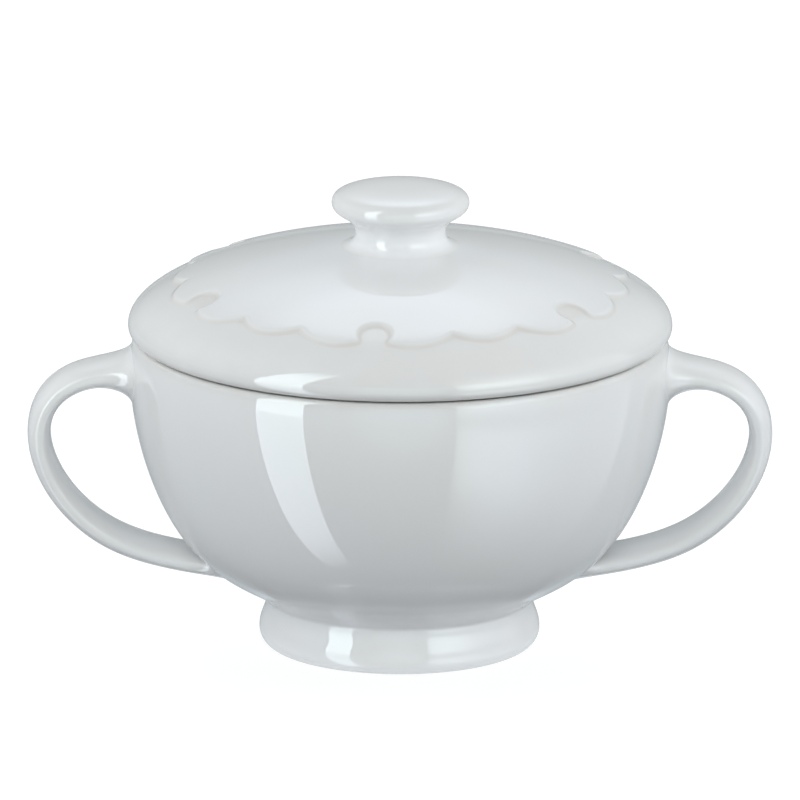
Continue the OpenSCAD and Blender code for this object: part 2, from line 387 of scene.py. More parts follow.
# %% [markdown]
# ## The handles
# Each handle is a pulled strap, bent into a loop and pressed on to the wall at both ends. The
# free part is easy: a pillowed section, a little squarer than an ellipse, is carried along a
# path. The roots take more care, because there the strap widens and flows into a round wall.
#
# A boolean union with a bevel could join them, but it leaves a ragged line of small faces. Here
# every lengthwise line of the strap is followed on its own to the point where it meets the wall.
# On its last stretch it is drawn out sideways along the wall by a quarter of an ellipse, so it
# leaves the strap along the strap and lands on the wall along the wall.

# %% Path of the handle, from the upper root to the lower one
handle_top_z = rim_z - handle_drop
handle_low_z = foot_h + handle_low_h
top_start = np.interp(handle_top_z, wall_line[:, 1], wall_line[:, 0]) - strap_t * 0.6
low_end = np.interp(handle_low_z, wall_line[:, 1], wall_line[:, 0]) + strap_t * 0.43
handle_shares = np.array([[0.02, 0.99], [1.73, 1.15], [1.13, 0.45], [0.8, 0.1]])
handle_span = [handle_reach, handle_top_z - handle_low_z]
path_steer = np.vstack([
    [[top_start, handle_top_z]],
    handle_shares * handle_span + [rim_r, handle_low_z],
    [[low_end, handle_low_z]],
])
strap_sides = 96
section_angle = -np.arange(strap_sides) * (2 * np.pi / strap_sides)
section_up = np.cos(section_angle)
section_side = np.sin(section_angle)
squareness = 2 / 2.5

# How much slimmer the strap is on its inner side between the roots, in millimetres
strap_slim = 0.45

# Shares of the path: where it grows slimmer, over what stretch, and where its outer side thins
slim_from = 0.08
slim_over = 0.2
thin_from = 0.8

section_out = strap_t / 2 * np.sign(section_up) * np.abs(section_up) ** squareness
section_across = strap_w / 2 * np.sign(section_side) * np.abs(section_side) ** squareness
farthest = curve(path_steer, np.linspace(0, 1, 400))[:, 0].max()
print("handle's middle line reaches", farthest.round(1), "mm")


# %% Points of the strap, and their distance from the wall
def strap_point(t):
    """The path's point at t, plus the path's left side times the offset outwards, plus y times the
    offset across. Past its end the path runs straight on, and before it the strap thins a little
    on its outer side. Between its roots it is slimmer inside. t has a column for each side."""
    on = np.clip(t, 0, 1)
    thinned = root_thin * eased((on - thin_from) / (1 - thin_from))
    slimmed = strap_slim * eased((on - slim_from) / slim_over) * eased((1 - on) / slim_over)
    outwards = section_out - thinned * np.maximum(section_up, 0)
    outwards = outwards + slimmed * np.maximum(-section_up, 0)
    middle = curve(path_steer, on) + speed(path_steer, on) * (t - on)[..., None]
    side = left_of(heading(path_steer, on))
    across = np.broadcast_to(section_across, t.shape)
    return np.stack([
        middle[..., 0] + side[..., 0] * outwards,
        across,
        middle[..., 1] + side[..., 1] * outwards,
    ], axis=-1)


def off_wall(point):
    """Distance of a point from the axis, less the wall's radius at its height."""
    wall = np.interp(point[..., 2], wall_line[:, 1], wall_line[:, 0])
    return np.hypot(point[..., 0], point[..., 1]) - wall


def meets_wall(inside, outside):
    """Halves the stretch from inside the wall to outside it, again and again, on all sides of the
    strap at once. What is left is where each side meets the wall."""
    inside = np.full(strap_sides, float(inside))
    outside = np.full(strap_sides, float(outside))
    for _ in range(40):
        middle = (inside + outside) / 2
        within = off_wall(strap_point(middle)) < 0
        inside = np.where(within, middle, inside)
        outside = np.where(within, outside, middle)
    return (inside + outside) / 2


# %% Roots of the handle
def root_rings(free_t, inside_t, growth_out, growth_in, growth_side, steps=26):
    """Each side of the strap runs on to the wall, less and less: the sine of an angle from 0 to 90
    degrees says how far. One less its cosine says how far it is drawn out along the wall."""
    meet_t = meets_wall(inside_t, free_t)
    meet = strap_point(meet_t)
    growth = section_up * ((growth_out + growth_in) + (growth_out - growth_in) * section_up) / 2
    run = np.interp(meet[:, 2], wall_line[:, 1], wall_run) + growth
    turn = np.arctan2(meet[:, 1], meet[:, 0])
    radius = np.interp(run, wall_run, wall_line[:, 0]) - under_skin
    height = np.interp(run, wall_run, wall_line[:, 1])
    turn = turn + growth_side * section_side / radius
    landed = np.stack([radius * np.cos(turn), radius * np.sin(turn), height], axis=-1)
    angle = np.linspace(0, np.pi / 2, steps + 1)[1:, None]
    body = strap_point(free_t + (meet_t - free_t) * np.sin(angle))
    drawn = body + (landed - meet) * (1 - np.cos(angle))[..., None]
    sunk = landed * [1 - 0.5 / rim_r, 1 - 0.5 / rim_r, 1]
    return np.concatenate([drawn, sunk[None]])


path_t = np.linspace(0, 1.1, 1200)
path_off = off_wall(strap_point(path_t[:, None] * np.ones(strap_sides)).mean(axis=1))
half = len(path_t) // 2
top_free = float(np.interp(root_len, path_off[:half], path_t[:half]))
low_free = float(np.interp(-root_len, -path_off[half:], path_t[half:]))
top_root = root_rings(top_free, 0.0, root_rise, root_fall, root_spread)
low_root = root_rings(low_free, 1.25, 0.3, root_tuck, root_spread)
free_t = np.linspace(top_free, low_free, 130)[:, None] * np.ones(strap_sides)
right_rings = np.concatenate([top_root[::-1], strap_point(free_t), low_root])
print("the strap is free of the wall from", round(top_free, 3), "to", round(low_free, 3))

# %% The handles' skins
strap_thin = np.abs(section_side) ** 6 * 0.25
right_piece = skin(
    "right_strap",
    right_rings,
    strap_thin,
    first_pole=right_rings[0].mean(axis=0),
    last_pole=right_rings[-1].mean(axis=0),
)
left_rings = (right_rings * [-1, 1, 1])[:, ::-1]
left_piece = skin(
    "left_strap",
    left_rings,
    strap_thin[::-1],
    first_pole=left_rings[0].mean(axis=0),
    last_pole=left_rings[-1].mean(axis=0),
)

# %% [markdown]
# ## The lid and its lace layer
# Just outside the edge runs a darker warm line, partly the glaze and partly painted shade in the crease.
# The lid is pressed in one mould with its lace: a plain dome, and on it a raised layer whose
# edge has scallops and six round notches. Cutting that edge as a separate sheet would leave a
# hard step, while the glaze has rounded the real one. So the lace is part of the dome's skin, as
# a rise that depends on the distance to the lace's edge. A low bead of glaze runs along it.
#
# The lid rests on a narrow seat, wiped bare of glaze so that it doesn't fuse to the rim in the kiln.
# Outside the seat it stands open by a quarter of a millimetre, a thin dark line all round. The bare seat
# is painted nearly black, as painted shade for that gap.

# %% Outline of the lid
dome_shares = np.array([[0, 1], [0.3, 1], [1, 0.58], [1, 0]])
dome_steer = dome_shares * [lid_r, lid_rise] + [0, lid_wide_z]
inside_shares = np.array([[0, 1], [0.42, 1], [1, 0.62], [1, 0.12]])
inside_steer = inside_shares * [flange_in_r, dome_top_z - lid_t - rim_z] + [0, rim_z]
dome_line = curve(dome_steer, np.linspace(0, 1, 1001))
tip_z = rim_z - flange_h
tip_round = flange_t / 2
flange_bend = [[flange_in_r, tip_z + tip_round], [flange_in_r, tip_z], [flange_in_r + tip_round, tip_z]]
flange_bend_out = [[flange_r - tip_round, tip_z], [flange_r, tip_z], [flange_r, tip_z + tip_round]]
seat_inset = 0.5
seat_bevel = 0.12
slit_h = 0.25
seat_r = lid_r - lid_edge_round - seat_inset
slit_z = rim_z + slit_h
edge_bend = [[lid_r - lid_edge_round, slit_z], [lid_r, slit_z], [lid_r, lid_wide_z]]

# Radii of the dome's rings: close together across the lace's edge, wider apart elsewhere
fine_from, fine_to = 46.2, 34.0
dome_radii = np.concatenate([
    np.linspace(lid_r, fine_from, 12, endpoint=False),
    np.linspace(fine_from, fine_to, 55, endpoint=False),
    np.linspace(fine_to, 1.0, 14),
])
dome_t = np.interp(dome_radii, dome_line[:, 0], np.linspace(0, 1, 1001))
lid_outline = joined(
    stretch(inside_steer, 20),
    stretch(flange_bend, 6),
    stretch(flange_bend_out, 6),
    [[flange_r, rim_z], [seat_r, rim_z], [seat_r + seat_bevel, slit_z]],
    stretch(edge_bend, 14),
    curve(dome_steer, np.linspace(1, dome_t[1], 8)),
    curve(dome_steer, dome_t[2:]),
)
print(len(lid_outline), "points in the lid's outline")


# %% Distance to the edge of the lace
def blended_least(distances, soft):
    """The least of several distances, rounded where two are close: minus the softness times the
    logarithm of the sum of each one's exponential of minus its distance over the softness."""
    least = distances.min(axis=0)
    return least - soft * np.log(np.exp((least - distances) / soft).sum(axis=0))


def lobe_circle(turn, half_angle, reach):
    """A circle through two corners and a tip: its radius is half the chord squared plus the bulge
    squared, over twice the bulge. Gives the middle and the radius."""
    half_chord = lace_r * math.sin(half_angle)
    bulge = lace_r + reach - lace_r * math.cos(half_angle)
    radius = (half_chord**2 + bulge**2) / (2 * bulge)
    away = lace_r + reach - radius
    return [away * math.cos(turn), away * math.sin(turn), radius]


# How far, in millimetres, a corner between two lobes is rounded
corner_soft = 0.25

# Between two notches lie three lobes. The shares say how wide the middle one is, from its middle to
# its corner, and how far the others' middles are turned from the notches.
pitch = 2 * np.pi / notch_count
mid_half = pitch * 0.153
side_turn = pitch * 0.163
side_half = pitch / 2 - mid_half - side_turn
notch_turns = lace_turn + pitch * np.arange(notch_count)
circles = np.array(
    [lobe_circle(turn + side_turn, side_half, side_lobe_out) for turn in notch_turns]
    + [lobe_circle(turn - side_turn, side_half, side_lobe_out) for turn in notch_turns]
    + [lobe_circle(turn + pitch / 2, mid_half, mid_lobe_out) for turn in notch_turns]
    + [[0, 0, lace_r * math.cos(side_half)]]
)


def past_lace(x, y):
    """Distance past the edge of the lace, below 0 on it. The lobes' discs are put together, and the
    notches, a disc with a straight mouth each, are taken out of them."""
    lobes = np.hypot(x - circles[:, 0, None, None], y - circles[:, 1, None, None])
    lobes = blended_least(lobes - circles[:, 2, None, None], corner_soft)
    cos, sin = np.cos(notch_turns)[:, None, None], np.sin(notch_turns)[:, None, None]
    out = x * cos + y * sin - lace_r
    across = np.abs(y * cos - x * sin)
    mouth = np.maximum(across - notch_mouth / 2, -out)
    notches = np.minimum(np.hypot(out, across) - notch_r, mouth).min(axis=0)
    return -blended_least(np.stack([-lobes, notches]), corner_soft)


# %% The lid's skin
# Places across the lace's edge and widths there, in millimetres, above 0 outside the lace
rise_from = 0.25
shoulder = 0.38
crease = 0.2
bead_at = -0.5
bead_w = 0.4
# Where the darker warm line in the crease outside the lace lies, and its width: partly warm glaze,
# partly painted shade
crease_shade_at = 0.2
crease_shade_w = 0.32
plain_from = 0.6
notch_fade = 3

# The bead's share of the lace's height; how much darker and warmer the glaze is made outside the lace,
# and more in the notches; and the number for the lid's seat, bare clay painted nearly black as shade in
# the gap under the lid
bead = 0.07
plain_tint = 0.2
notch_tint = 0.5
bare_seat_shade = 2

lid_rings = turned(lid_outline[1:], 720)
is_top = np.zeros(len(lid_rings), bool)
is_top[-len(dome_radii):] = True
past = past_lace(lid_rings[is_top, :, 0], lid_rings[is_top, :, 1])
inward = rise_from - past
inward = (inward + np.hypot(inward, crease)) / 2
lace_share = 1 - np.exp(-inward / shoulder)
lace_share = lace_share + bead * np.exp(-(((past - bead_at) / bead_w) ** 2))
lid_rings[is_top, :, 2] += lace_h * lace_share
lid_thin_and_shade = np.broadcast_to(bend_of(lid_outline)[1:, None], lid_rings.shape[:2]).copy()
# A darker warm line in the crease just outside the lace: partly warm glaze, partly painted shade
lid_thin_and_shade[is_top] += np.exp(-(((past - crease_shade_at) / crease_shade_w) ** 2))
# Outside the lace the glaze is made a little darker and warmer, more so in the notches
outside = eased(past / plain_from)
notch_reach = np.hypot(lid_rings[is_top, :, 0], lid_rings[is_top, :, 1]) - lace_r
lid_thin_and_shade[is_top] += outside * (plain_tint + notch_tint * eased(1 - notch_reach / notch_fade))
is_dark_seat = (lid_outline[1:, 0] > flange_r - 0.01) & (lid_outline[1:, 1] > rim_z - 0.01)
is_dark_seat &= lid_outline[1:, 1] < slit_z + 0.04
# The bare seat gets the number that paints it nearly black: painted shade of the gap under the lid
lid_thin_and_shade[is_dark_seat] = bare_seat_shade
print("rings on the lid's seat:", int(is_dark_seat.sum()))
lid_piece = skin(
    "glazed_lid",
    lid_rings,
    lid_thin_and_shade,
    first_pole=[0, 0, inside_steer[0, 1]],
    last_pole=[0, 0, lace_top_z],
)
print("share of the top under lace:", round(float((past < 0).mean()), 3))

# %% [markdown]
# ## The knob
# A knob is thrown on its own and pressed on to the lid. Its foot spreads on the lace, its neck is
# a tight hollow, and the cap is wide with a low dome. It is turned as the bowl is, and its foot
# lands on the lace along the lace's own slope.


# %% Outline and skin of the knob
def lace_face(radius):
    """Height of the lace's upper face: the dome's height at that radius, plus the lace's own."""
    return np.interp(radius, dome_line[:, 0], dome_line[:, 1]) + lace_h


foot_land_r = knob_foot_r + 1.3
spread_r = knob_foot_r - 0.7
sunk_z = lace_top_z - 1.2
knob_foot_bend = [
    [foot_land_r, lace_face(foot_land_r) - 0.01],
    [spread_r, lace_face(spread_r)],
    [knob_waist_r, lace_top_z + knob_waist_h * 0.25],
    [knob_waist_r, lace_top_z + knob_waist_h],
]
neck_rise = knob_cap_h - knob_waist_h
knob_neck_bend = [
    [knob_waist_r, lace_top_z + knob_waist_h],
    [knob_waist_r, lace_top_z + knob_waist_h + neck_rise * 0.6],
    [knob_r, lace_top_z + knob_waist_h + neck_rise * 0.57],
    [knob_r, lace_top_z + knob_cap_h],
]
cap_rise = knob_h - knob_cap_h
knob_cap_bend = [
    [knob_r, lace_top_z + knob_cap_h],
    [knob_r, lace_top_z + knob_cap_h + cap_rise * 0.92],
    [knob_r * 0.7, lace_top_z + knob_h],
    [0, lace_top_z + knob_h],
]
knob_outline = joined(
    [[0, sunk_z], [foot_land_r - 0.5, lace_face(foot_land_r) - 0.9]],
    stretch(knob_foot_bend, 24),
    stretch(knob_neck_bend, 48),
    stretch(knob_cap_bend, 48),
)
knob_piece = skin(
    "turned_knob",
    turned(knob_outline[1:-1], 320),
    bend_of(knob_outline)[1:-1, None],
    first_pole=[0, 0, sunk_z],
    last_pole=[0, 0, lace_top_z + knob_h],
)


# %% [markdown]
# ## The pearl glaze
# Hollows are painted lighter and bluer: partly glaze gathered there, partly painted light.
# Up close the glaze has two layers. A milky body carries the colour, white with a faint drift
# between cooler and warmer, and a few fine specks. Over it lies clear, hard glass, which mirrors
# sharply and more than window glass does, so its index of refraction is high. Mica in it tints
# the gloss a little, as a thin film on the shader does. On outward bends the glaze is thin and
# the warm clay shows through.
#
# A picture of a glaze could be wrapped round the forms, but it would stretch at the poles. Noise
# that reads each point's place in space has no seam anywhere.


# %% Small helpers for materials
def add_node(tree, kind, **settings):
    """Adds a node and sets its inputs and properties by name."""
    made = tree.nodes.new(kind)
    for name, value in settings.items():
        label = name.replace("_", " ")
        if hasattr(made, name):
            setattr(made, name, value)
        else:
            made.inputs[label].default_value = value
    return made


def noise(tree, place, scale, detail=2.0, roughness=0.5):
    """A cloudy pattern from 0 to 1, about one over the scale in metres from blob to blob."""
    made = add_node(tree, "ShaderNodeTexNoise")
    made.inputs["Scale"].default_value = scale
    made.inputs["Detail"].default_value = detail
    made.inputs["Roughness"].default_value = roughness
    tree.links.new(place, made.inputs["Vector"])
    return made.outputs["Fac"]


def remap(tree, value, low, high, to_low, to_high):
    """The value's place between low and high, put at the same place between two other values."""
    made = add_node(tree, "ShaderNodeMapRange")
    for label, number in zip(("From Min", "From Max", "To Min", "To Max"), (low, high, to_low, to_high)):
        made.inputs[label].default_value = number
    tree.links.new(value, made.inputs["Value"])
    return made.outputs["Result"]


def mixed(tree, share, first, second):
    """One colour where the share is 0, the other where it is 1, and a blend between."""
    made = add_node(tree, "ShaderNodeMix", data_type="RGBA")
    tree.links.new(share, made.inputs["Factor"])
    colour_inputs = [socket for socket in made.inputs if socket.type == "RGBA"]
    for socket, colour in zip(colour_inputs, (first, second)):
        if isinstance(colour, tuple):
            socket.default_value = (*colour, 1.0)
        else:
            tree.links.new(colour, socket)
    return [socket for socket in made.outputs if socket.type == "RGBA"][0]


def bumped(tree, height, distance):
    """Tilts the surface as if it rose by the height times the distance, in metres."""
    made = add_node(tree, "ShaderNodeBump")
    made.inputs["Distance"].default_value = distance
    tree.links.new(height, made.inputs["Height"])
    return made.outputs["Normal"]


# %% Colours of the glaze and of the clay under it, with painted shade and painted light among them
cool_white, warm_white = (0.79, 0.803, 0.803), (0.803, 0.803, 0.792)
speck_grey = (0.64, 0.64, 0.62)
# The thin cream also paints the darker line in the lace's crease, partly as painted shade
thin_cream_and_shade = (0.66, 0.63, 0.565)
# The seat's clay, painted far darker than bare clay is, as painted shade in the gap under the lid
seat_clay_shade = (0.13, 0.115, 0.1)
# Hollows are painted lighter and bluer than the body: partly glaze gathered there, partly painted light
pooled_lit_blue = (0.83, 0.86, 0.87)
dark_grit, pale_grit = (0.62, 0.55, 0.46), (0.74, 0.68, 0.59)

# How many blobs of each pattern go into a metre
drift_scale = 34
wave_scale = 90
patch_scale = 160
gloss_scale = 420
ragged_scale = 700
grit_scale = 1800
speck_scale = 2100

# How deep the waves are, and how ragged and how soft the edge of bare clay is, in metres
wave_depth = 0.000006
ragged_depth = 0.00012
ragged_edge = 0.00004

# The clear glass: its roughness, its index of refraction, and the film of mica in it, whose
# thickness is in nanometres
glass_smooth, glass_rough = 0.012, 0.026
glass_index = 1.75
film_thickness = 290.0
film_index = 1.71
print("the whites are", cool_white, "and", warm_white)


# %% The glaze
def glaze(name, shift, warmth=1.0, painted_lift=0.0, bare_below=None):
    """Colour: a cool and a warm white mixed by broad noise, specks, thin edges with a darker line in the
    lace's crease that is partly painted shade, the seat's clay painted nearly black as shade, hollows
    painted lighter and bluer, partly glaze gathered there and partly painted light, then bare clay.
    Roughness: noise. Surface: the broad waves that the clay leaves in the glaze. The shift moves the
    patterns, warmth is how much clay shows through thin edges, and the paler whites that the third
    number gives are painted light for pieces that catch more of it. Below the height bare_below, in
    metres, the clay is bare."""
    material = bpy.data.materials.new(name)
    material.use_nodes = True
    tree = material.node_tree
    shader = tree.nodes["Principled BSDF"]
    coordinates = add_node(tree, "ShaderNodeTexCoord")
    moved = add_node(tree, "ShaderNodeMapping")
    moved.inputs["Location"].default_value = shift
    tree.links.new(coordinates.outputs["Object"], moved.inputs["Vector"])
    place = moved.outputs["Vector"]
    cool, warm = (tuple(part + painted_lift for part in white) for white in (cool_white, warm_white))
    drift = remap(tree, noise(tree, place, drift_scale), 0.35, 0.65, 0, 1)
    body = mixed(tree, drift, cool, warm)
    speck = remap(tree, noise(tree, place, speck_scale, 1), 0.68, 0.82, 0, 0.15)
    body = mixed(tree, speck, body, speck_grey)
    thin = add_node(tree, "ShaderNodeAttribute", attribute_name="glaze_thin_and_shade").outputs["Fac"]
    patchy = remap(tree, noise(tree, place, patch_scale), 0.3, 0.7, 0.65, 1.15)
    edge = add_node(tree, "ShaderNodeMath", operation="MULTIPLY")
    tree.links.new(remap(tree, thin, 0.06, 0.9, 0, 0.5 * warmth), edge.inputs[0])
    tree.links.new(patchy, edge.inputs[1])
    body = mixed(tree, edge.outputs[0], body, thin_cream_and_shade)
    # The seat, painted nearly black as shade in the gap under the lid
    body = mixed(tree, remap(tree, thin, 1.3, 1.9, 0, 1), body, seat_clay_shade)
    # Hollows painted lighter and bluer: partly glaze gathered there, partly painted light
    pooled_and_lit = remap(tree, thin, -0.05, -0.6, 0, 0.4)
    body = mixed(tree, pooled_and_lit, body, pooled_lit_blue)
    gloss = remap(tree, noise(tree, place, gloss_scale), 0.3, 0.7, glass_smooth, glass_rough)
    waves = bumped(tree, noise(tree, place, wave_scale, 0), wave_depth)
    if bare_below is not None:
        height = add_node(tree, "ShaderNodeSeparateXYZ")
        tree.links.new(coordinates.outputs["Object"], height.inputs["Vector"])
        ragged = add_node(tree, "ShaderNodeMath", operation="MULTIPLY_ADD")
        tree.links.new(noise(tree, place, ragged_scale), ragged.inputs[0])
        ragged.inputs[1].default_value = -ragged_depth
        tree.links.new(height.outputs["Z"], ragged.inputs[2])
        bare = remap(tree, ragged.outputs[0], bare_below, bare_below - ragged_edge, 0, 1)
        grit = mixed(tree, noise(tree, place, grit_scale, 3), dark_grit, pale_grit)
        body = mixed(tree, bare, body, grit)
        dulled = add_node(tree, "ShaderNodeMix", data_type="FLOAT")
        tree.links.new(bare, dulled.inputs[0])
        tree.links.new(gloss, dulled.inputs[2])
        dulled.inputs[3].default_value = 0.85
        gloss = dulled.outputs[0]
    tree.links.new(body, shader.inputs["Base Color"])
    tree.links.new(gloss, shader.inputs["Roughness"])
    tree.links.new(waves, shader.inputs["Normal"])
    shader.inputs["IOR"].default_value = glass_index
    shader.inputs["Thin Film Thickness"].default_value = film_thickness
    shader.inputs["Thin Film IOR"].default_value = film_index
    print(name, "has", len(tree.nodes), "nodes")
    return material


bowl_glaze = glaze("pearl_glaze_bowl", (0.0, 0.0, 0.0))
foot_glaze = glaze("pearl_glaze_foot", (0.31, 0.12, 0.05), bare_below=0.0, warmth=0.3)
# The handles and the knob get paler whites: painted light, for the fuller light that falls on them
handle_glaze = glaze("pearl_glaze_handles", (0.07, 0.22, 0.4), warmth=0.3, painted_lift=0.025)
lid_glaze = glaze("pearl_glaze_lid", (0.5, 0.33, 0.18))
knob_glaze = glaze("pearl_glaze_knob", (0.9, 0.7, 0.26), warmth=0.4, painted_lift=0.01)

# %% [markdown]
# ## Fitting the pieces to the model
# Each skin moves with a body of the solid model, takes the place of the solid that it covers, and gets
# its glaze. The table also lists the finish that each belongs to.

# %% Bodies, replaced solids and finishes
dressing = [
    (bowl_piece, "crock", ["bowl"], "pearl_glaze", bowl_glaze),
    (foot_piece, "crock", ["foot_ring"], "foot_glaze", foot_glaze),
    (left_piece, "crock", ["left_handle"], "pearl_glaze", handle_glaze),
    (right_piece, "crock", ["right_handle"], "pearl_glaze", handle_glaze),
    (lid_piece, "lid", ["lid", "lace_layer"], "lid_glaze", lid_glaze),
    (knob_piece, "lid", ["lid_knob"], "lid_glaze", knob_glaze),
]
for piece, body, nodes, slot, material in dressing:
    piece.data.materials.append(material)
    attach(piece, body)
    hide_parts(*nodes)
    print(piece.name, "rides on", body, "and stands for", ", ".join(nodes))

# %% [markdown]
# ## Floor and world
# The photo is cut out on white, but the glaze tells what stood around the bowl: a dim horizon, a
# large soft light high behind it, and a table that mirrored the lamps a little. So only rays from
# the camera, or through glass, meet the floor and the world at full white. The floor keeps the
# shadow under the bowl.
#
# Mirrored light and soft light meet the studio itself, and each has patches of its own. Such a
# photo is lit by reflectors close to the bowl, which a world far away can't show to both alike.
# The table sends soft light up too, most of it close round the foot, whose underside is bright.


# %% Light that depends on the kind of ray
def seen_directly(tree):
    """1 for a ray from the camera or through glass, and 0 for other light."""
    path = add_node(tree, "ShaderNodeLightPath")
    seen = add_node(tree, "ShaderNodeMath", operation="MAXIMUM")
    tree.links.new(path.outputs["Is Camera Ray"], seen.inputs[0])
    tree.links.new(path.outputs["Is Transmission Ray"], seen.inputs[1])
    return seen.outputs[0]


def direction(azimuth, elevation):
    """A direction one unit long. The azimuth is 0 at the camera and above 0 to the right."""
    turn, rise = math.radians(azimuth), math.radians(elevation)
    return math.sin(turn) * math.cos(rise), -math.cos(turn) * math.cos(rise), math.sin(rise)


# %% Levels of the floor
# What the floor sends out by itself: its soft light, what it adds to that for mirroring surfaces
# and close round the foot, and the level at which it is seen directly
soft_level = 0.18
mirrored_extra = 0.42
foot_extra = 0.45
seen_level = 0.77

# The radii, in metres, between which the light close round the foot fades out
foot_near, foot_far = 0.0285, 0.0335

# The share of the floor's light that mirroring surfaces see as a mirror image in its polish
polish = 0.68

# Its colour for soft light and as it is seen, and the tone of the light that it sends out
white = (1.0, 1.0, 1.0)
floor_dim, floor_pale = (0.05, 0.05, 0.05), (0.3, 0.3, 0.3)
floor_cool = (0.95, 1.0, 1.04)
print("the floor is seen at", seen_level, "and lights the foot at", soft_level + foot_extra)

# %% Floor
floor_half = 3.0
floor_mesh = bpy.data.meshes.new("floor")
floor_corners = [(-1, -1, 0), (1, -1, 0), (1, 1, 0), (-1, 1, 0)]
floor_points = [tuple(floor_half * c for c in corner) for corner in floor_corners]
floor_mesh.from_pydata(floor_points, [], [(0, 1, 2, 3)])
floor = bpy.data.objects.new("floor", floor_mesh)
bpy.context.scene.collection.objects.link(floor)
floor_paint = bpy.data.materials.new("floor_paint")
floor_paint.use_nodes = True
floor_tree = floor_paint.node_tree
floor_shader = floor_tree.nodes["Principled BSDF"]
floor_shader.inputs["Roughness"].default_value = 0.9
floor_shader.inputs["Specular IOR Level"].default_value = 0.1
floor_seen = seen_directly(floor_tree)
floor_path = add_node(floor_tree, "ShaderNodeLightPath")
floor_colour = mixed(floor_tree, floor_seen, floor_dim, floor_pale)
floor_tree.links.new(floor_colour, floor_shader.inputs["Base Color"])
floor_tone = mixed(floor_tree, floor_seen, floor_cool, white)
floor_tree.links.new(floor_tone, floor_shader.inputs["Emission Color"])
floor_glow = add_node(floor_tree, "ShaderNodeMath", operation="ADD")
floor_mirrored = floor_path.outputs["Is Glossy Ray"]
floor_tree.links.new(remap(floor_tree, floor_seen, 0, 1, soft_level, seen_level), floor_glow.inputs[0])
floor_tree.links.new(remap(floor_tree, floor_mirrored, 0, 1, 0, mirrored_extra), floor_glow.inputs[1])
floor_place = add_node(floor_tree, "ShaderNodeTexCoord")
floor_away = add_node(floor_tree, "ShaderNodeVectorMath", operation="LENGTH")
floor_tree.links.new(floor_place.outputs["Object"], floor_away.inputs[0])
by_the_foot = remap(floor_tree, floor_away.outputs["Value"], foot_near, foot_far, foot_extra, 0)
not_seen = remap(floor_tree, floor_seen, 0, 1, 1, 0)
floor_lift = add_node(floor_tree, "ShaderNodeMath", operation="MULTIPLY_ADD")
for place, value in enumerate((by_the_foot, not_seen, floor_glow.outputs[0])):
    floor_tree.links.new(value, floor_lift.inputs[place])
floor_tree.links.new(floor_lift.outputs[0], floor_shader.inputs["Emission Strength"])
floor_gloss = add_node(floor_tree, "ShaderNodeBsdfGlossy")
floor_gloss.inputs["Color"].default_value = (1, 1, 1, 1)
floor_gloss.inputs["Roughness"].default_value = 0.03
floor_polish = remap(floor_tree, floor_mirrored, 0, 1, 0, polish)
floor_both = add_node(floor_tree, "ShaderNodeMixShader")
floor_tree.links.new(floor_polish, floor_both.inputs[0])
floor_tree.links.new(floor_shader.outputs[0], floor_both.inputs[1])
floor_tree.links.new(floor_gloss.outputs[0], floor_both.inputs[2])
floor_tree.links.new(floor_both.outputs[0], floor_tree.nodes["Material Output"].inputs["Surface"])
floor_mesh.materials.append(floor_paint)

# Rays find the floor by themselves, with less noise than when it is aimed at as a lamp
floor_paint.cycles.emission_sampling = "NONE"
print("the floor is", 2 * floor_half, "m wide, and its paint has", len(floor_tree.nodes), "nodes")

# %% World
world = bpy.data.worlds.new("studio")
bpy.context.scene.world = world
world.use_nodes = True
world_tree = world.node_tree
world_light = world_tree.nodes["Background"]
world_look = add_node(world_tree, "ShaderNodeTexCoord")


def glow(azimuth, elevation, inner, outer, level):
    """A round patch of light, full up to the inner angle from its middle, none past the outer."""
    near = add_node(world_tree, "ShaderNodeVectorMath", operation="DOT_PRODUCT")
    world_tree.links.new(world_look.outputs["Generated"], near.inputs[0])
    near.inputs[1].default_value = direction(azimuth, elevation)
    patch = add_node(world_tree, "ShaderNodeMapRange", interpolation_type="SMOOTHSTEP")
    patch.inputs["From Min"].default_value = math.cos(math.radians(outer))
    patch.inputs["From Max"].default_value = math.cos(math.radians(inner))
    patch.inputs["To Max"].default_value = level
    world_tree.links.new(near.outputs["Value"], patch.inputs["Value"])
    return patch.outputs["Result"]


def summed(level, patches):
    """The level everywhere, plus each patch."""
    total = level
    for patch in patches:
        added = add_node(world_tree, "ShaderNodeMath", operation="ADD")
        world_tree.links.new(patch, added.inputs[0])
        if isinstance(total, float):
            added.inputs[1].default_value = total
        else:
            world_tree.links.new(total, added.inputs[1])
        total = added.outputs[0]
    return total


def chosen(share, first, second):
    """One number where the share is 0, the other where it is 1."""
    made = add_node(world_tree, "ShaderNodeMix", data_type="FLOAT")
    for place, value in enumerate((share, first, second)):
        socket = made.inputs[(0, 2, 3)[place]]
        if isinstance(value, float):
            socket.default_value = value
        else:
            world_tree.links.new(value, socket)
    return made.outputs[0]


soft_light = summed(0.03, [
    glow(-90, 15, 20, 70, 0.86),
    glow(90, 15, 20, 70, 0.48),
    glow(0, 10, 15, 50, 1.06),
    glow(-98, 4, 10, 45, 1.4),
    glow(98, 4, 10, 45, 2.6),
    glow(180, 8, 15, 60, 2.1),
    glow(0, 4, 10, 40, 1.7),
    glow(180, 85, 15, 50, 0.29),
])
mirrored_light = summed(0.23, [
    glow(180, 28, 6, 18, 0.27),
    glow(180, 44, 8, 22, 0.49),
    glow(180, 48, 5, 15, 0.68),
    glow(-90, 40, 15, 45, 0.31),
    glow(-135, 12, 12, 38, 0.27),
    glow(135, 12, 12, 38, 0.24),
    glow(135, 42, 12, 35, 0.12),
    glow(0, 10, 15, 50, 0.3),
    glow(0, 5, 6, 24, 0.6),
])
world_path = add_node(world_tree, "ShaderNodeLightPath")
mirrors = world_path.outputs["Is Glossy Ray"]
studio = chosen(mirrors, soft_light, mirrored_light)
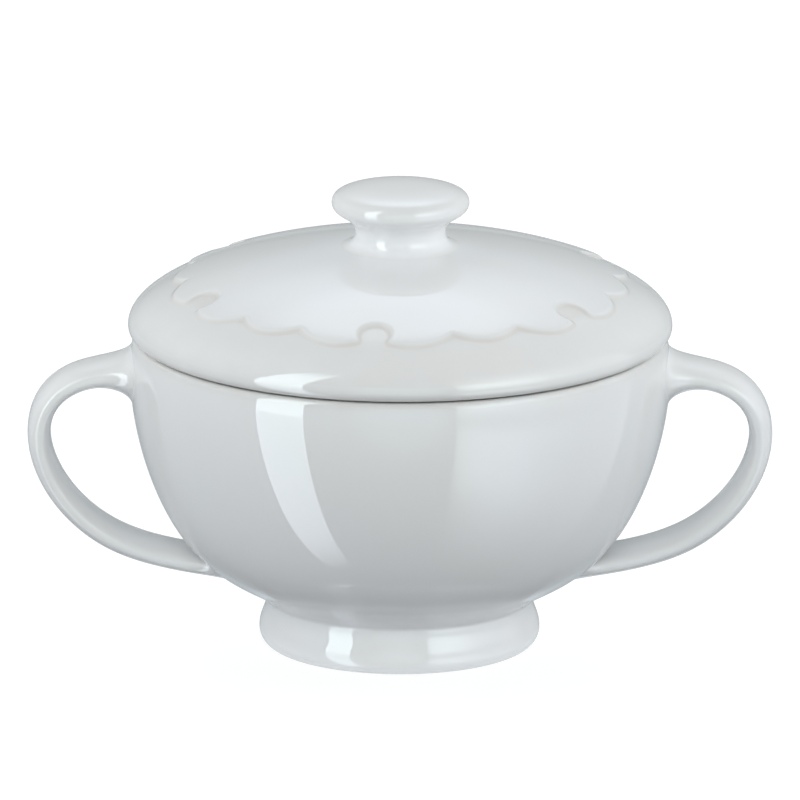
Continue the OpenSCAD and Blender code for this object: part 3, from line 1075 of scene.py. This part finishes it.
world_tree.links.new(chosen(seen_directly(world_tree), studio, 1.0), world_light.inputs["Strength"])
height = add_node(world_tree, "ShaderNodeSeparateXYZ")
world_tree.links.new(world_look.outputs["Generated"], height.inputs[0])
upwards = remap(world_tree, height.outputs["Z"], 0, 0.5, 0, 1)
low_tone, high_tone, mirrored_tone = (0.965, 1.0, 1.03), (0.99, 1.0, 1.0), (0.86, 1.0, 1.08)
soft_tone = mixed(world_tree, upwards, low_tone, high_tone)
studio_tone = mixed(world_tree, mirrors, soft_tone, mirrored_tone)
tone = mixed(world_tree, seen_directly(world_tree), studio_tone, white)
world_tree.links.new(tone, world_light.inputs["Color"])
print("the world has", len(world_tree.nodes), "nodes")


# %% [markdown]
# ## Studio light
# The reflections tell where the lamps stood: a tall narrow one at the left, and a wide one at the
# right whose light fades outwards. Blender's area lamps do this, with a soft curve across and
# another upwards. Both reach down to the table, so that their mirror images in it carry on down
# the bowl. Only mirroring surfaces see them: the soft light comes from the world, evenly.


# %% Lamps
def faded(tree, place, levels):
    """A soft curve through levels, each a place from 0 to 1 and the level there."""
    ramp = add_node(tree, "ShaderNodeValToRGB")
    tree.links.new(place, ramp.inputs[0])
    ramp.color_ramp.interpolation = "B_SPLINE"
    while len(ramp.color_ramp.elements) < len(levels):
        ramp.color_ramp.elements.new(0.5)
    for stop, (share, value) in zip(ramp.color_ramp.elements, levels):
        stop.position = share
        stop.color = (value, value, value, 1)
    return ramp.outputs[0]


def lamp(name, first_azimuth, last_azimuth, top, distance, level, across, upwards):
    """An upright area lamp between two azimuths, from the table up to an elevation. Its power is
    the level times its area times pi. It fades by one curve across and by another upwards."""
    middle, half = (first_azimuth + last_azimuth) / 2, (last_azimuth - first_azimuth) / 2
    data = bpy.data.lights.new(name, "AREA")
    data.shape = "RECTANGLE"
    data.size = 2 * distance * math.tan(math.radians(half))
    data.size_y = distance * math.tan(math.radians(top))
    data.energy = level * data.size * data.size_y * math.pi
    data.use_nodes = True
    tree = data.node_tree
    place = add_node(tree, "ShaderNodeNewGeometry")
    split = add_node(tree, "ShaderNodeSeparateXYZ")
    tree.links.new(place.outputs["Parametric"], split.inputs[0])
    both = add_node(tree, "ShaderNodeMath", operation="MULTIPLY")
    tree.links.new(faded(tree, split.outputs[0], across), both.inputs[0])
    tree.links.new(faded(tree, split.outputs[1], upwards), both.inputs[1])
    tree.links.new(both.outputs[0], tree.nodes["Emission"].inputs["Strength"])
    made = bpy.data.objects.new(name, data)
    made.location = np.array(direction(middle, 0)) * distance + [0, 0, data.size_y / 2]
    made.rotation_euler = (math.pi / 2, 0, math.radians(middle))
    made.visible_camera = False
    made.visible_diffuse = False
    bpy.context.scene.collection.objects.link(made)
    print(name, "is", round(data.size, 2), "m wide and", round(data.size_y, 2), "m high")


# How the light of each lamp fades: across, from its first azimuth to its last, and up from the table
even = [(0, 1.0), (1, 1.0)]
strip_up = [
    (0, 1.0), (0.2, 1.0), (0.4, 0.86), (0.5, 0.8), (0.62, 0.64), (0.75, 0.43), (0.88, 0.2), (1, 0.08),
]
box_across = [(0, 0.35), (0.07, 0.8), (0.2, 1.0), (0.36, 0.9), (0.5, 0.46), (0.68, 0.28), (1, 0.26)]
box_up = [(0, 0.35), (0.05, 0.5), (0.1, 1.0), (0.28, 1.0), (0.38, 0.6), (0.5, 0.3), (0.7, 0.12), (1, 0)]

# How high the lamps reach, in degrees, and how far away they stand, in metres
lamp_top = 66
lamp_away = 0.8
lamp("left_strip", -61.5, -40.0, lamp_top, lamp_away, 4.15, even, strip_up)
lamp("right_box", 23.5, 112, lamp_top, lamp_away, 2.95, box_across, box_up)

# %% [markdown]
# ## Camera
# The photo was taken from about 15 degrees above, from far away with a long lens, so that front
# and back are nearly the same size. The camera leans by a seventh of a degree, as the photo does.

# %% Camera
camera_rise = math.radians(15.2)
camera_roll = math.radians(0.15)
camera_away = 6.0
camera_data = bpy.data.cameras.new("camera")
camera_data.sensor_width = 36
camera_data.lens = 1440
camera_data.clip_end = 20
camera = bpy.data.objects.new("camera", camera_data)
bpy.context.scene.collection.objects.link(camera)
aim = np.array([0, 0, 0.0465])
camera.location = aim + np.array([0, -math.cos(camera_rise), math.sin(camera_rise)]) * camera_away
camera.rotation_euler = (math.pi / 2 - camera_rise, 0, 0)
camera.rotation_euler.rotate_axis("Z", camera_roll)
bpy.context.scene.camera = camera
bpy.context.scene.view_settings.view_transform = "Standard"
print("the camera is", camera_away, "m away, its lens", camera_data.lens, "mm long")
